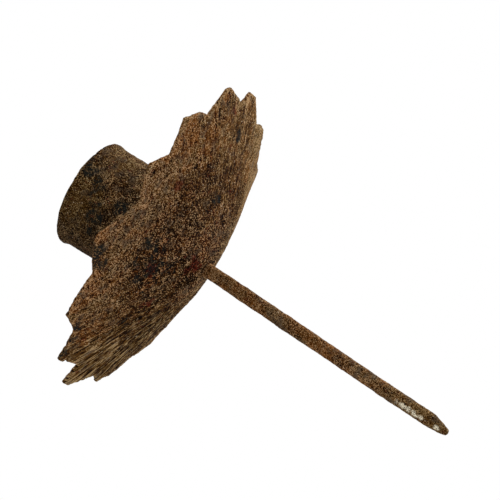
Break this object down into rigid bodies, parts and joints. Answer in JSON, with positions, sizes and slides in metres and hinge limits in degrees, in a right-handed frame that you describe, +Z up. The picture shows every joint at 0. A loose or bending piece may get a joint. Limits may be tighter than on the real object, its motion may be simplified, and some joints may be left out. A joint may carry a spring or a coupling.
{
  "type": "spiked candle holder",
  "caption": "Wrought-iron candle cup on a dished drip pan with a toothed rim, over a long blunt-pointed spike that is driven into wood.",
  "frame": {"origin": "middle of the spike's shoulder, just under the drip pan", "axes": "+Z up towards the cup's mouth, with the spike hanging along -Z; +Y is the side of the cup's lapped seam"},
  "size_m": [0.1724, 0.1658, 0.2301],
  "materials": {
    "spike": "worn brown rust over forged wrought iron",
    "drip_pan": "thick pitted brown rust",
    "candle_cup": "thick pitted brown rust",
    "cup_floor": "thick pitted brown rust",
    "clench_washer": "pitted brown rust",
    "seam_rivets": "pitted brown rust"
  },
  "bodies": {
    "root": {"spike": "spike", "drip_pan": "drip_pan", "candle_cup": "candle_cup", "cup_floor": "cup_floor", "clench_washer": "clench_washer", "seam_rivets": "seam_rivets"}
  },
  "joints": []
}
